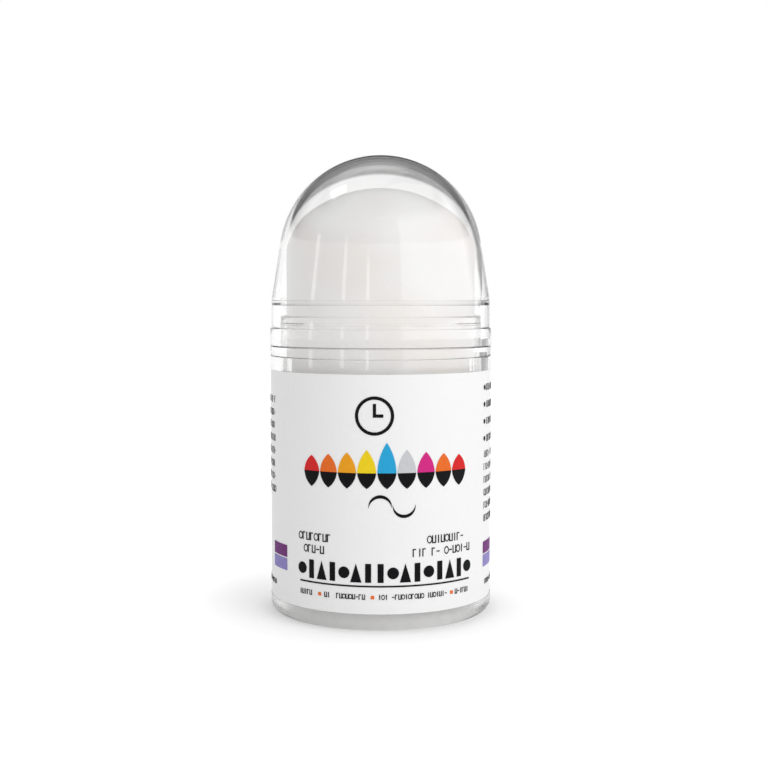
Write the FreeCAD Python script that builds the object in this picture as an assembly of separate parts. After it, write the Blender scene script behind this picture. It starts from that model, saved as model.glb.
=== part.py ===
"""Twist-up mineral deodorant stick: a clear domed overcap over a stone that stands on a
screw-driven carrier inside a round barrel with a wrap-around label. Millimetres, +Z up, origin
at the middle of the base. The front of the label faces -Y. Each piece is one STEP file."""
import FreeCAD, Part
import math
import os

V = FreeCAD.Vector
AXIS = V(0, 0, 1)
ORIGIN = V(0, 0, 0)
FULL_TURN = 360.0

# Barrel: outer shell, recess in the base, floor and neck
BARREL_RADIUS = 25.5
BARREL_WALL = 2.4
BASE_EDGE_RADIUS = 2.2
BASE_RING_WIDTH = 1.1           # flat ring that the stick stands on
BASE_RECESS_DEPTH = 9.5
FLOOR_THICKNESS = 2.0
SHOULDER_HEIGHT = 61.0
SHOULDER_THICKNESS = 2.3
SHOULDER_EDGE_RADIUS = 0.5
NECK_SETBACK = 2.4              # neck's outer side inside the barrel's
NECK_HEIGHT = 6.9
NECK_WALL = 0.9
NECK_BEAD = 0.15                # how far the grip bead stands out of the neck
NECK_BEAD_BELOW_RIM = 1.8
RIM_ROUNDING = 0.3
GUIDE_RIB_COUNT = 3
GUIDE_RIB_WIDTH = 2.0
GUIDE_RIB_SETBACK = 0.1         # rib's inner side outside the neck's bore

# Stone
STONE_LENGTH = 54.8
STONE_TO_CROWN = 5.3            # room between the stone's top and the inside of the cap
STONE_CROWN_RADIUS = 27.0
STONE_CROWN_HALF_ANGLE = 38.0
STONE_FOOT_CHAMFER = 0.6

# Overcap
CAP_BAND_HEIGHT = 4.1
CAP_BAND_STEP = 0.35            # how far the band stands out of the skirt
CAP_SKIRT_HEIGHT = 10.3
CAP_HEIGHT = 43.5
CAP_CROWN_INSET = 2.2           # crown's radius is less than the barrel's by this
CAP_TAPER = 9.0                 # degrees, outer side between skirt and crown
CAP_CROWN_WALL = 1.8
CAP_SIDE_WALL = 0.9
CAP_INNER_TAPER = 5.6           # degrees
CAP_BAND_ROUNDING = 0.8
CAP_EDGE_ROUNDING = 0.2
CAP_STOP_ABOVE_NECK = 2.6       # inner step of the cap above the neck rim
CAP_LEAD_IN = 0.5

# Label
LABEL_BOTTOM = 4.0
LABEL_BELOW_SHOULDER = 5.3
LABEL_FILM = 0.12
LABEL_GLUE = 0.04
LABEL_SEAM = 0.8                # gap of the wrapped film at the back
LABEL_TURN = 3.0                # degrees that the print is turned about the axis
INK_FILM = 0.05
INK_GAP = 0.03                  # between the film and the ink

# Lead screw and carrier
SCREW_CORE_RADIUS = 3.0
SCREW_CREST_RADIUS = 4.6
THREAD_LEAD = 9.0
THREAD_ROOT_WIDTH = 3.0
THREAD_CREST_WIDTH = 1.8
THREAD_SINK = 0.3               # how far the thread's foot reaches into the core
JOURNAL_RADIUS = 3.5
COLLAR_RADIUS = 7.0
COLLAR_THICKNESS = 1.5
COLLAR_TO_THREAD = 0.6
SCREW_TIP = 1.2
SPIGOT_FLATS = 5.4              # hexagon across flats
SPIGOT_LENGTH = 5.6
NUT_LENGTH = 6.0
NUT_ABOVE_COLLAR = 1.6
HUB_WALL = 2.0
HUB_RELIEF = 0.4                # hub bore outside the thread crest, above the nut
HUB_CROWN = 1.2
HUB_ABOVE_SCREW = 0.8
SKIRT_WALL = 1.3
PLATFORM_THICKNESS = 1.6
FLANGE_THICKNESS = 1.6
WEB_COUNT = 4
WEB_THICKNESS = 1.2
WEB_FOOT = 7.0                  # height of the webs' lower end above the flange

# Dial in the base
DIAL_INSET = 0.8
DIAL_WALL = 1.5
DIAL_PLATE = 1.6
DIAL_HUB_RADIUS = 4.7
DIAL_HUB_LENGTH = 4.9
GRIP_BAR_WIDTH = 5.0
GRIP_GROOVE_COUNT = 5
GRIP_GROOVE_RADIUS = 0.7
GRIP_GROOVE_PITCH = 2.6
GRIP_GROOVE_START = 7.0         # first groove's distance from the axis

# Clearances
CAP_NECK_CLEARANCE = 0.10
CAP_SEAT_CLEARANCE = 0.10
STONE_NECK_CLEARANCE = 0.40
SKIRT_NECK_CLEARANCE = 0.45
FLANGE_CLEARANCE = 0.30
FLANGE_FLOOR_GAP = 0.30
RIB_CLEARANCE = 0.30
STOP_CLEARANCE = 0.30
THREAD_CLEARANCE = 0.25
BEARING_CLEARANCE = 0.06
THRUST_CLEARANCE = 0.10
SPIGOT_CLEARANCE = 0.03
DIAL_CLEARANCE = 0.25
BOND_GAP = 0.10

# Heights and radii that follow from the sizes above
FLOOR_TOP = BASE_RECESS_DEPTH + FLOOR_THICKNESS
SHOULDER_UNDERSIDE = SHOULDER_HEIGHT - SHOULDER_THICKNESS
BORE_RADIUS = BARREL_RADIUS - BARREL_WALL
RECESS_RADIUS = BARREL_RADIUS - BASE_EDGE_RADIUS - BASE_RING_WIDTH
NECK_RADIUS = BARREL_RADIUS - NECK_SETBACK
NECK_BORE = NECK_RADIUS - NECK_WALL
NECK_TOP = SHOULDER_HEIGHT + NECK_HEIGHT
GUIDE_RIB_INNER = NECK_BORE + GUIDE_RIB_SETBACK
CAP_BOTTOM = SHOULDER_HEIGHT + CAP_SEAT_CLEARANCE
CAP_TOP = CAP_BOTTOM + CAP_HEIGHT
CAP_SKIRT_TOP = CAP_BOTTOM + CAP_SKIRT_HEIGHT
CAP_SKIRT_RADIUS = BARREL_RADIUS - CAP_BAND_STEP
CAP_BORE = NECK_RADIUS + NECK_BEAD + CAP_NECK_CLEARANCE
CAP_CROWN_RADIUS = BARREL_RADIUS - CAP_CROWN_INSET
CAP_INNER_CROWN_RADIUS = CAP_CROWN_RADIUS - CAP_SIDE_WALL
STONE_RADIUS = NECK_BORE - STONE_NECK_CLEARANCE
STONE_TOP = CAP_TOP - CAP_CROWN_WALL - STONE_TO_CROWN
STONE_BOTTOM = STONE_TOP - STONE_LENGTH
LABEL_TOP = SHOULDER_HEIGHT - LABEL_BELOW_SHOULDER
INK_INNER = BARREL_RADIUS - INK_FILM
LABEL_OUTER = INK_INNER - INK_GAP
LABEL_INNER = LABEL_OUTER - LABEL_FILM
LABEL_SEAT = LABEL_INNER - LABEL_GLUE
FLANGE_BOTTOM = FLOOR_TOP + FLANGE_FLOOR_GAP
FLANGE_TOP = FLANGE_BOTTOM + FLANGE_THICKNESS
TRAVEL = SHOULDER_UNDERSIDE - STOP_CLEARANCE - FLANGE_TOP
SCREW_COLLAR_TOP = FLOOR_TOP + THRUST_CLEARANCE + COLLAR_THICKNESS
THREAD_START = SCREW_COLLAR_TOP + COLLAR_TO_THREAD
NUT_BOTTOM = SCREW_COLLAR_TOP + NUT_ABOVE_COLLAR
NUT_TOP = NUT_BOTTOM + NUT_LENGTH
THREAD_TOP = NUT_TOP + TRAVEL
SCREW_TOP = THREAD_TOP + SCREW_TIP
HUB_RADIUS = SCREW_CREST_RADIUS + HUB_RELIEF + HUB_WALL
HUB_BORE_TOP = SCREW_TOP + HUB_ABOVE_SCREW
HUB_TOP = HUB_BORE_TOP + HUB_CROWN
SKIRT_RADIUS = NECK_BORE - SKIRT_NECK_CLEARANCE
DIAL_TOP = BASE_RECESS_DEPTH - THRUST_CLEARANCE
DIAL_RADIUS = RECESS_RADIUS - DIAL_CLEARANCE

# Print on the label: plain shapes, placed by their angle in degrees from the middle of the
# print. The squares, underline and bold row are stacked upwards from the label's lower edge,
# the clock, leaves and flourish downwards from its upper edge.
SQUARE_SIZE = 0.75
SQUARE_ABOVE_EDGE = 3.7
SQUARE_ANGLES = (-34.5, -7.0, 34.5)
UNDERLINE_ABOVE_SQUARES = 2.2
UNDERLINE_WIDTH = 0.35
UNDERLINE_OVERHANG = 1.5        # degrees beyond the bold row
ROW_ABOVE_UNDERLINE = 0.65
ROW_TALL = 4.1
ROW_SPAN = 45.5                 # degrees each side of the middle
ROW_SHAPES = ("disc", "bar", "wedge", "bar", "disc", "wedge", "bar", "bar",
              "disc", "wedge", "bar", "disc", "bar", "wedge", "bar", "disc")
ROW_BAR_WIDTH = 1.3
ROW_DISC_RADIUS = 1.27
ROW_WEDGE_WIDTH = 2.5
FLOURISH_BELOW_LEAVES = 7.2
FLOURISH_ANGLE = 2.6
FLOURISH_RADIUS = 2.5
FLOURISH_STROKE = 0.7
FLOURISH_SPLIT = 0.2            # gap between its two crescents
LEAF_WIDTH = 4.1
LEAF_SPACING = 9.8              # degrees between leaves
LEAF_COLOURS = ("red", "orange", "amber", "yellow", "blue", "grey", "magenta", "orange", "red")
LEAF_REACH = (3.4, 3.9, 4.4, 5.0, 6.6, 5.0, 4.4, 3.9, 3.4)
LEAF_SHOULDER_AT = 0.45         # of the leaf's reach
LEAF_SHOULDER_WIDTH = 0.8       # of the leaf's width
CLOCK_ANGLE = -6.0
CLOCK_BELOW_EDGE = 4.6
CLOCK_ABOVE_LEAVES = 1.5
CLOCK_RADIUS = 4.2
CLOCK_LINE = 0.7
CLOCK_LONG_HAND = 2.6
CLOCK_SHORT_HAND = 1.9
SIDE_PATCH_ANGLES = ((-74.0, -58.0), (62.0, 78.0))
SIDE_PATCH_ABOVE_EDGE = 10.2
SIDE_PATCH_SPLIT = 0.3          # gap between the two tones
SIDE_PATCH_TALL = 2.7

SQUARE_HEIGHT = LABEL_BOTTOM + SQUARE_ABOVE_EDGE
UNDERLINE_HEIGHT = SQUARE_HEIGHT + UNDERLINE_ABOVE_SQUARES
ROW_LOW = UNDERLINE_HEIGHT + UNDERLINE_WIDTH + ROW_ABOVE_UNDERLINE
ROW_HIGH = ROW_LOW + ROW_TALL
CLOCK_HEIGHT = LABEL_TOP - CLOCK_BELOW_EDGE - CLOCK_RADIUS
LEAF_HEIGHT = CLOCK_HEIGHT - CLOCK_RADIUS - CLOCK_ABOVE_LEAVES - max(LEAF_REACH)
FLOURISH_HEIGHT = LEAF_HEIGHT - FLOURISH_BELOW_LEAVES
SIDE_PATCH_HEIGHT = LABEL_BOTTOM + SIDE_PATCH_ABOVE_EDGE
DRAWING_Y = -BARREL_RADIUS - 1  # plane in front of the label that flat shapes are drawn on


def rounded_path(corners):
    """Edges through (radius, height, rounding) corners in the XZ plane, each inner corner
    rounded by a tangent arc."""
    edges = []
    start = V(corners[0][0], 0, corners[0][1])
    for before, corner, after in zip(corners, corners[1:], corners[2:]):
        here = V(corner[0], 0, corner[1])
        back = (V(before[0], 0, before[1]) - here).normalize()
        ahead = (V(after[0], 0, after[1]) - here).normalize()
        if corner[2] > 0:
            half = back.getAngle(ahead) / 2
            reach = corner[2] / math.tan(half)
            middle = (back + ahead).normalize() * (corner[2] / math.sin(half) - corner[2])
            first, last = here + back * reach, here + ahead * reach
            edges.append(Part.LineSegment(start, first).toShape())
            edges.append(Part.Arc(first, here + middle, last).toShape())
            start = last
        else:
            edges.append(Part.LineSegment(start, here).toShape())
            start = here
    end = V(corners[-1][0], 0, corners[-1][1])
    edges.append(Part.LineSegment(start, end).toShape())
    return edges


def turned(edges):
    """Solid of revolution about Z of a closed outline in the XZ plane."""
    face = Part.Face(Part.Wire(edges))
    return face.revolve(ORIGIN, AXIS, FULL_TURN)


def turned_corners(corners):
    """Solid of revolution of a closed outline of (radius, height, rounding) corners."""
    return turned(rounded_path(corners + [corners[0]]))


def cylinder(radius, low, high):
    """Upright cylinder about the axis between two heights."""
    return Part.makeCylinder(radius, high - low, V(0, 0, low))


def tube(outer, inner, low, high):
    """Upright tube about the axis between two heights."""
    return cylinder(outer, low, high).cut(cylinder(inner, low, high))


def around(shape, count, first=0.0):
    """Copies of a shape, evenly spaced about the axis."""
    copies = []
    for index in range(count):
        copy = shape.copy()
        copy.rotate(ORIGIN, AXIS, first + FULL_TURN * index / count)
        copies.append(copy)
    return copies


def hexagon(flats, low, high):
    """Upright hexagonal prism about the axis, measured across its flats."""
    corner = flats / math.sqrt(3)
    points = [V(corner * math.cos(math.pi * k / 3), corner * math.sin(math.pi * k / 3), low)
              for k in range(7)]
    return Part.Face(Part.makePolygon(points)).extrude(V(0, 0, high - low))


def crown_profile(taper, radius, top, foot_height):
    """The lower end of a side that leans by taper degrees and runs into a round crown, as
    (radius, height) of the foot, and the edges of side and crown up to the axis."""
    lean = math.radians(taper)
    centre = top - radius
    join = V(radius * math.cos(lean), 0, centre + radius * math.sin(lean))
    foot = V(join.x + (join.z - foot_height) * math.tan(lean), 0, foot_height)
    half = math.radians((90 + taper) / 2)
    middle = V(radius * math.cos(half), 0, centre + radius * math.sin(half))
    edges = [Part.LineSegment(foot, join).toShape(),
             Part.Arc(join, middle, V(0, 0, top)).toShape()]
    return foot, edges


def make_overcap():
    """Clear cap: band, skirt, leaning side and round crown, hollowed, with a stop inside."""
    foot, side = crown_profile(CAP_TAPER, CAP_CROWN_RADIUS, CAP_TOP, CAP_SKIRT_TOP)
    band_top = CAP_BOTTOM + CAP_BAND_HEIGHT
    lower = rounded_path([
        (0, CAP_BOTTOM, 0),
        (BARREL_RADIUS, CAP_BOTTOM, CAP_BAND_ROUNDING),
        (BARREL_RADIUS, band_top, CAP_EDGE_ROUNDING),
        (CAP_SKIRT_RADIUS, band_top, 0),
        (CAP_SKIRT_RADIUS, CAP_SKIRT_TOP, 0),
        (foot.x, foot.z, 0)])
    axis = [Part.LineSegment(V(0, 0, CAP_TOP), V(0, 0, CAP_BOTTOM)).toShape()]
    outer = turned(lower + side + axis)

    inner_top = CAP_TOP - CAP_CROWN_WALL
    stop = NECK_TOP + CAP_STOP_ABOVE_NECK
    inner_foot, inner_side = crown_profile(
        CAP_INNER_TAPER, CAP_INNER_CROWN_RADIUS, inner_top, stop)
    lower = rounded_path([
        (0, CAP_BOTTOM, 0),
        (CAP_BORE + CAP_LEAD_IN, CAP_BOTTOM, 0),
        (CAP_BORE, CAP_BOTTOM + CAP_LEAD_IN, 0),
        (CAP_BORE, stop, 0),
        (inner_foot.x, inner_foot.z, 0)])
    axis = [Part.LineSegment(V(0, 0, inner_top), V(0, 0, CAP_BOTTOM)).toShape()]
    return outer.cut(turned(lower + inner_side + axis))


def make_barrel():
    """Barrel: base rim, band for the label, shoulder, beaded neck, floor with a bearing hole
    and the guide ribs that keep the carrier from turning."""
    bead = NECK_TOP - NECK_BEAD_BELOW_RIM
    bead_radius = NECK_RADIUS + NECK_BEAD
    shell = turned_corners([
        (0, 0, 0),
        (BARREL_RADIUS, 0, BASE_EDGE_RADIUS),
        (BARREL_RADIUS, LABEL_BOTTOM, 0),
        (LABEL_SEAT, LABEL_BOTTOM, 0),
        (LABEL_SEAT, LABEL_TOP, 0),
        (BARREL_RADIUS, LABEL_TOP, 0),
        (BARREL_RADIUS, SHOULDER_HEIGHT, SHOULDER_EDGE_RADIUS),
        (NECK_RADIUS, SHOULDER_HEIGHT, 0),
        (NECK_RADIUS, bead - 2 * NECK_BEAD, 0),
        (bead_radius, bead - NECK_BEAD, 0),
        (bead_radius, bead + NECK_BEAD, 0),
        (NECK_RADIUS, bead + 2 * NECK_BEAD, 0),
        (NECK_RADIUS, NECK_TOP, RIM_ROUNDING),
        (NECK_BORE, NECK_TOP, RIM_ROUNDING),
        (NECK_BORE, SHOULDER_UNDERSIDE, 0),
        (BORE_RADIUS, SHOULDER_UNDERSIDE, 0),
        (BORE_RADIUS, FLOOR_TOP, 0),
        (0, FLOOR_TOP, 0)])
    recess = cylinder(RECESS_RADIUS, 0, BASE_RECESS_DEPTH)
    bearing = cylinder(JOURNAL_RADIUS + BEARING_CLEARANCE, 0, FLOOR_TOP)
    rib_depth = BORE_RADIUS + BARREL_WALL / 2 - GUIDE_RIB_INNER
    rib = Part.makeBox(rib_depth, GUIDE_RIB_WIDTH, SHOULDER_UNDERSIDE - FLOOR_TOP,
                       V(GUIDE_RIB_INNER, -GUIDE_RIB_WIDTH / 2, FLOOR_TOP))
    return shell.cut(recess).cut(bearing).fuse(around(rib, GUIDE_RIB_COUNT, 90)).removeSplitter()


def make_stone():
    """Stone with a domed top and a blind bore for the carrier's hub."""
    half = math.radians(STONE_CROWN_HALF_ANGLE)
    crown_centre = STONE_TOP - STONE_CROWN_RADIUS
    join = V(STONE_CROWN_RADIUS * math.sin(half), 0,
             crown_centre + STONE_CROWN_RADIUS * math.cos(half))
    edge_radius = (STONE_RADIUS - join.x) / (1 - math.sin(half))
    centre = V(STONE_RADIUS - edge_radius, 0, join.z - edge_radius * math.cos(half))
    middle_angle = (math.pi / 2 - half) / 2
    edge_middle = centre + V(math.cos(middle_angle), 0, math.sin(middle_angle)) * edge_radius
    side_top = V(STONE_RADIUS, 0, centre.z)
    crown_middle = V(STONE_CROWN_RADIUS * math.sin(half / 2), 0,
                     crown_centre + STONE_CROWN_RADIUS * math.cos(half / 2))
    foot = rounded_path([
        (0, STONE_BOTTOM, 0),
        (STONE_RADIUS - STONE_FOOT_CHAMFER, STONE_BOTTOM, 0),
        (STONE_RADIUS, STONE_BOTTOM + STONE_FOOT_CHAMFER, 0),
        (side_top.x, side_top.z, 0)])
    dome = [Part.Arc(side_top, edge_middle, join).toShape(),
            Part.Arc(join, crown_middle, V(0, 0, STONE_TOP)).toShape(),
            Part.LineSegment(V(0, 0, STONE_TOP), V(0, 0, STONE_BOTTOM)).toShape()]
    bore = cylinder(HUB_RADIUS + BOND_GAP, STONE_BOTTOM, HUB_TOP + BOND_GAP)
    return turned(foot + dome).cut(bore)


def helical_ridge(core, crest, root_width, crest_width, start, turns):
    """Left-hand helical ridge of trapezoid section about the axis, sunk a little into its
    core. start is the height of the section's middle at the first turn's beginning."""
    slope = (root_width - crest_width) / 2 / (crest - core)
    sunk = root_width / 2 + slope * THREAD_SINK
    section = Part.makePolygon([
        V(core - THREAD_SINK, 0, start - sunk),
        V(crest, 0, start - crest_width / 2),
        V(crest, 0, start + crest_width / 2),
        V(core - THREAD_SINK, 0, start + sunk),
        V(core - THREAD_SINK, 0, start - sunk)])
    helix = Part.makeLongHelix(THREAD_LEAD, turns * THREAD_LEAD, core, 0, True)
    helix.translate(V(0, 0, start))
    sweep = Part.BRepOffsetAPI.MakePipeShell(Part.Wire(helix.Edges))
    sweep.setBiNormalMode(AXIS)
    sweep.add(section)
    sweep.build()
    sweep.makeSolid()
    return sweep.shape()


def make_lead_screw():
    """Screw that lifts the carrier: hexagonal spigot, journal, thrust collar, core and a
    coarse left-hand thread as long as the nut and its travel need."""
    spigot_bottom = DIAL_TOP - SPIGOT_LENGTH
    collar_bottom = FLOOR_TOP + THRUST_CLEARANCE
    screw = hexagon(SPIGOT_FLATS, spigot_bottom, DIAL_TOP)
    screw = screw.fuse(cylinder(JOURNAL_RADIUS, DIAL_TOP, collar_bottom))
    screw = screw.fuse(cylinder(COLLAR_RADIUS, collar_bottom, SCREW_COLLAR_TOP))
    core = turned_corners([
        (0, SCREW_COLLAR_TOP, 0),
        (SCREW_CORE_RADIUS, SCREW_COLLAR_TOP, 0),
        (SCREW_CORE_RADIUS, SCREW_TOP, RIM_ROUNDING),
        (0, SCREW_TOP, 0)])
    turns = (THREAD_TOP - THREAD_START - THREAD_ROOT_WIDTH) / THREAD_LEAD
    thread = helical_ridge(SCREW_CORE_RADIUS, SCREW_CREST_RADIUS, THREAD_ROOT_WIDTH,
                           THREAD_CREST_WIDTH, THREAD_START + THREAD_ROOT_WIDTH / 2, turns)
    return screw.fuse(core).fuse(thread)


def make_stone_carrier():
    """Carrier under the stone: skirt with a keyed flange, platform, webs and a hub whose
    foot is the nut on the screw and whose top sits in the stone."""
    platform_bottom = STONE_BOTTOM - PLATFORM_THICKNESS
    skirt_bore = SKIRT_RADIUS - SKIRT_WALL
    flange_radius = BORE_RADIUS - FLANGE_CLEARANCE

    body = cylinder(SKIRT_RADIUS, FLANGE_BOTTOM, STONE_BOTTOM)
    body = body.fuse(cylinder(flange_radius, FLANGE_BOTTOM, FLANGE_TOP))
    body = body.cut(cylinder(skirt_bore, FLANGE_BOTTOM, platform_bottom))
    hub = cylinder(HUB_RADIUS, NUT_BOTTOM, HUB_TOP)
    web_reach = SKIRT_RADIUS - SKIRT_WALL / 2 - HUB_RADIUS / 2
    web = Part.makeBox(web_reach, WEB_THICKNESS, platform_bottom - FLANGE_TOP - WEB_FOOT,
                       V(HUB_RADIUS / 2, -WEB_THICKNESS / 2, FLANGE_TOP + WEB_FOOT))
    body = body.fuse([hub] + around(web, WEB_COUNT, 45))

    nut_bore = cylinder(SCREW_CORE_RADIUS + THREAD_CLEARANCE, NUT_BOTTOM, NUT_TOP)
    relief = cylinder(SCREW_CREST_RADIUS + HUB_RELIEF, NUT_TOP, HUB_BORE_TOP)
    groove_start = THREAD_START + THREAD_ROOT_WIDTH / 2 - THREAD_LEAD
    groove_turns = (NUT_TOP - groove_start) / THREAD_LEAD + 1
    groove = helical_ridge(SCREW_CORE_RADIUS + THREAD_CLEARANCE,
                           SCREW_CREST_RADIUS + THREAD_CLEARANCE,
                           THREAD_ROOT_WIDTH + 2 * THREAD_CLEARANCE,
                           THREAD_CREST_WIDTH + 2 * THREAD_CLEARANCE,
                           groove_start, groove_turns)
    body = body.cut(nut_bore).cut(relief).cut(groove)

    key_depth = BORE_RADIUS - GUIDE_RIB_INNER + RIB_CLEARANCE
    key_width = GUIDE_RIB_WIDTH + 2 * RIB_CLEARANCE
    key = Part.makeBox(key_depth, key_width, FLANGE_THICKNESS,
                       V(GUIDE_RIB_INNER - RIB_CLEARANCE, -key_width / 2, FLANGE_BOTTOM))
    for notch in around(key, GUIDE_RIB_COUNT, 90):
        body = body.cut(notch)
    return body.removeSplitter()


def make_base_dial():
    """Dial in the base recess: plate, rim, ribbed grip bar across it and a socket for the
    screw's spigot."""
    plate_bottom = DIAL_TOP - DIAL_PLATE
    rim_bore = DIAL_RADIUS - DIAL_WALL
    dial = cylinder(DIAL_RADIUS, DIAL_INSET, DIAL_TOP)
    dial = dial.cut(cylinder(rim_bore, DIAL_INSET, plate_bottom))
    bar = Part.makeBox(2 * rim_bore + DIAL_WALL, GRIP_BAR_WIDTH, plate_bottom - DIAL_INSET,
                       V(-rim_bore - DIAL_WALL / 2, -GRIP_BAR_WIDTH / 2, DIAL_INSET))
    grooves = []
    for side in (-1, 1):
        for face in (-1, 1):
            for index in range(GRIP_GROOVE_COUNT):
                x = side * (GRIP_GROOVE_START + index * GRIP_GROOVE_PITCH)
                y = face * (GRIP_BAR_WIDTH / 2 + GRIP_GROOVE_RADIUS / 2)
                grooves.append(Part.makeCylinder(
                    GRIP_GROOVE_RADIUS, plate_bottom - DIAL_INSET, V(x, y, DIAL_INSET)))
    bar = bar.cut(Part.makeCompound(grooves))
    hub = cylinder(DIAL_HUB_RADIUS, plate_bottom - DIAL_HUB_LENGTH, plate_bottom)
    socket = hexagon(SPIGOT_FLATS + 2 * SPIGOT_CLEARANCE,
                     DIAL_TOP - SPIGOT_LENGTH - THRUST_CLEARANCE, DIAL_TOP)
    return dial.fuse([bar, hub]).removeSplitter().cut(socket)


def sleeve_patch(inner, outer, start, end, low, high):
    """Piece of a sleeve between two angles, counted in degrees from the front (-Y)
    towards +X, and two heights."""
    section = Part.Face(Part.makePolygon([
        V(0, -inner, low), V(0, -outer, low), V(0, -outer, high), V(0, -inner, high),
        V(0, -inner, low)]))
    section.rotate(ORIGIN, AXIS, start)
    return section.revolve(ORIGIN, AXIS, end - start)


def make_label():
    """Wrapped film with a narrow seam at the back."""
    seam = math.degrees(LABEL_SEAM / LABEL_OUTER)
    return sleeve_patch(LABEL_INNER, LABEL_OUTER, 180 + seam / 2, 540 - seam / 2,
                        LABEL_BOTTOM, LABEL_TOP)


def printed(face, angle):
    """A flat shape that faces the front, wrapped onto the label at an angle."""
    prism = face.extrude(V(0, BARREL_RADIUS, 0))
    patch = prism.common(tube(BARREL_RADIUS, INK_INNER, LABEL_BOTTOM, LABEL_TOP))
    patch.rotate(ORIGIN, AXIS, angle + LABEL_TURN)
    return patch.Solids


def flat(points):
    """Flat polygon in front of the label from (across, height) points."""
    outline = [V(x, DRAWING_Y, z) for x, z in points]
    return Part.Face(Part.makePolygon(outline + outline[:1]))


def disc(across, height, radius):
    """Flat disc in front of the label."""
    circle = Part.Circle(V(across, DRAWING_Y, height), V(0, -1, 0), radius)
    return Part.Face(Part.Wire(circle.toShape()))


def bar_patch(start, end, low, high):
    """Upright or level bar of print between two angles and two heights."""
    return sleeve_patch(INK_INNER, BARREL_RADIUS, start + LABEL_TURN, end + LABEL_TURN,
                        low, high)


def leaf_half(reach):
    """Upper or lower half of a pointed leaf: reach is positive upwards, negative down."""
    half = LEAF_WIDTH / 2
    waist = half * LEAF_SHOULDER_WIDTH
    tip = V(0, DRAWING_Y, LEAF_HEIGHT + reach)
    shoulder = LEAF_HEIGHT + reach * LEAF_SHOULDER_AT
    left, right = V(-half, DRAWING_Y, LEAF_HEIGHT), V(half, DRAWING_Y, LEAF_HEIGHT)
    sides = [Part.Arc(left, V(-waist, DRAWING_Y, shoulder), tip).toShape(),
             Part.Arc(tip, V(waist, DRAWING_Y, shoulder), right).toShape(),
             Part.LineSegment(right, left).toShape()]
    return Part.Face(Part.Wire(sides))


def row_shape(kind, angle):
    """One plain shape of the bold row."""
    if kind == "disc":
        return printed(disc(0, (ROW_LOW + ROW_HIGH) / 2, ROW_DISC_RADIUS), angle)
    if kind == "wedge":
        half = ROW_WEDGE_WIDTH / 2
        return printed(flat([(-half, ROW_LOW), (half, ROW_LOW), (0, ROW_HIGH)]), angle)
    half = math.degrees(ROW_BAR_WIDTH / 2 / BARREL_RADIUS)
    return [bar_patch(angle - half, angle + half, ROW_LOW, ROW_HIGH)]


def clock_mark():
    """Ring and two hands of the clock mark."""
    ring = disc(0, CLOCK_HEIGHT, CLOCK_RADIUS).cut(
        disc(0, CLOCK_HEIGHT, CLOCK_RADIUS - CLOCK_LINE))
    half = CLOCK_LINE / 2
    hands = flat([(-half, CLOCK_HEIGHT + CLOCK_LONG_HAND),
                  (-half, CLOCK_HEIGHT - half),
                  (CLOCK_SHORT_HAND, CLOCK_HEIGHT - half),
                  (CLOCK_SHORT_HAND, CLOCK_HEIGHT + half),
                  (half, CLOCK_HEIGHT + half),
                  (half, CLOCK_HEIGHT + CLOCK_LONG_HAND)])
    return printed(ring, CLOCK_ANGLE) + printed(hands, CLOCK_ANGLE)


def flourish():
    """Two crescents side by side, one arched up and one down."""
    crescents = []
    for side in (-1, 1):
        across = side * (FLOURISH_RADIUS + FLOURISH_SPLIT / 2)
        crescent = disc(across, FLOURISH_HEIGHT, FLOURISH_RADIUS).cut(
            disc(across, FLOURISH_HEIGHT + side * FLOURISH_STROKE, FLOURISH_RADIUS))
        crescents += printed(crescent, FLOURISH_ANGLE)
    return crescents


def make_print():
    """All fields of print as a list of solids for each ink."""
    inks = {"black": clock_mark() + flourish(), "purple": [], "lavender": []}
    first = -LEAF_SPACING * (len(LEAF_COLOURS) - 1) / 2
    for index, (colour, reach) in enumerate(zip(LEAF_COLOURS, LEAF_REACH)):
        angle = first + index * LEAF_SPACING
        inks.setdefault(colour, []).extend(printed(leaf_half(reach), angle))
        inks["black"] += printed(leaf_half(-LEAF_REACH[0]), angle)

    step = 2 * ROW_SPAN / (len(ROW_SHAPES) - 1)
    for index, kind in enumerate(ROW_SHAPES):
        inks["black"] += row_shape(kind, -ROW_SPAN + index * step)
    end = ROW_SPAN + UNDERLINE_OVERHANG
    inks["black"].append(bar_patch(-end, end, UNDERLINE_HEIGHT,
                                   UNDERLINE_HEIGHT + UNDERLINE_WIDTH))
    half = math.degrees(SQUARE_SIZE / 2 / BARREL_RADIUS)
    for angle in SQUARE_ANGLES:
        inks["orange"].append(bar_patch(angle - half, angle + half,
                                        SQUARE_HEIGHT - SQUARE_SIZE / 2,
                                        SQUARE_HEIGHT + SQUARE_SIZE / 2))
    upper = SIDE_PATCH_HEIGHT + SIDE_PATCH_SPLIT / 2
    lower = SIDE_PATCH_HEIGHT - SIDE_PATCH_SPLIT / 2
    for start, end in SIDE_PATCH_ANGLES:
        inks["purple"].append(bar_patch(start, end, upper, upper + SIDE_PATCH_TALL))
        inks["lavender"].append(bar_patch(start, end, lower - SIDE_PATCH_TALL, lower))
    return inks


def main():
    """Build every piece and write one STEP file for each."""
    pieces = {
        "overcap": make_overcap(),
        "barrel": make_barrel(),
        "label": make_label(),
        "alum_stone": make_stone(),
        "stone_carrier": make_stone_carrier(),
        "lead_screw": make_lead_screw(),
        "base_dial": make_base_dial(),
    }
    for colour, solids in make_print().items():
        pieces["print_" + colour] = Part.makeCompound(solids)
    os.makedirs("parts", exist_ok=True)
    for name, shape in pieces.items():
        shape.exportStep("parts/" + name + ".step")
        print(name, "solids", len(shape.Solids), "volume", round(shape.Volume, 1),
              "valid", shape.isValid())


main()
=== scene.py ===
"""Looks of a twist-up mineral deodorant stick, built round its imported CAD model.

The clear cap and barrel, the label film and the stone are turned again as smooth meshes, small
print is added to the label, and the pieces that stay as the model has them get their finishes.
"""

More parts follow.
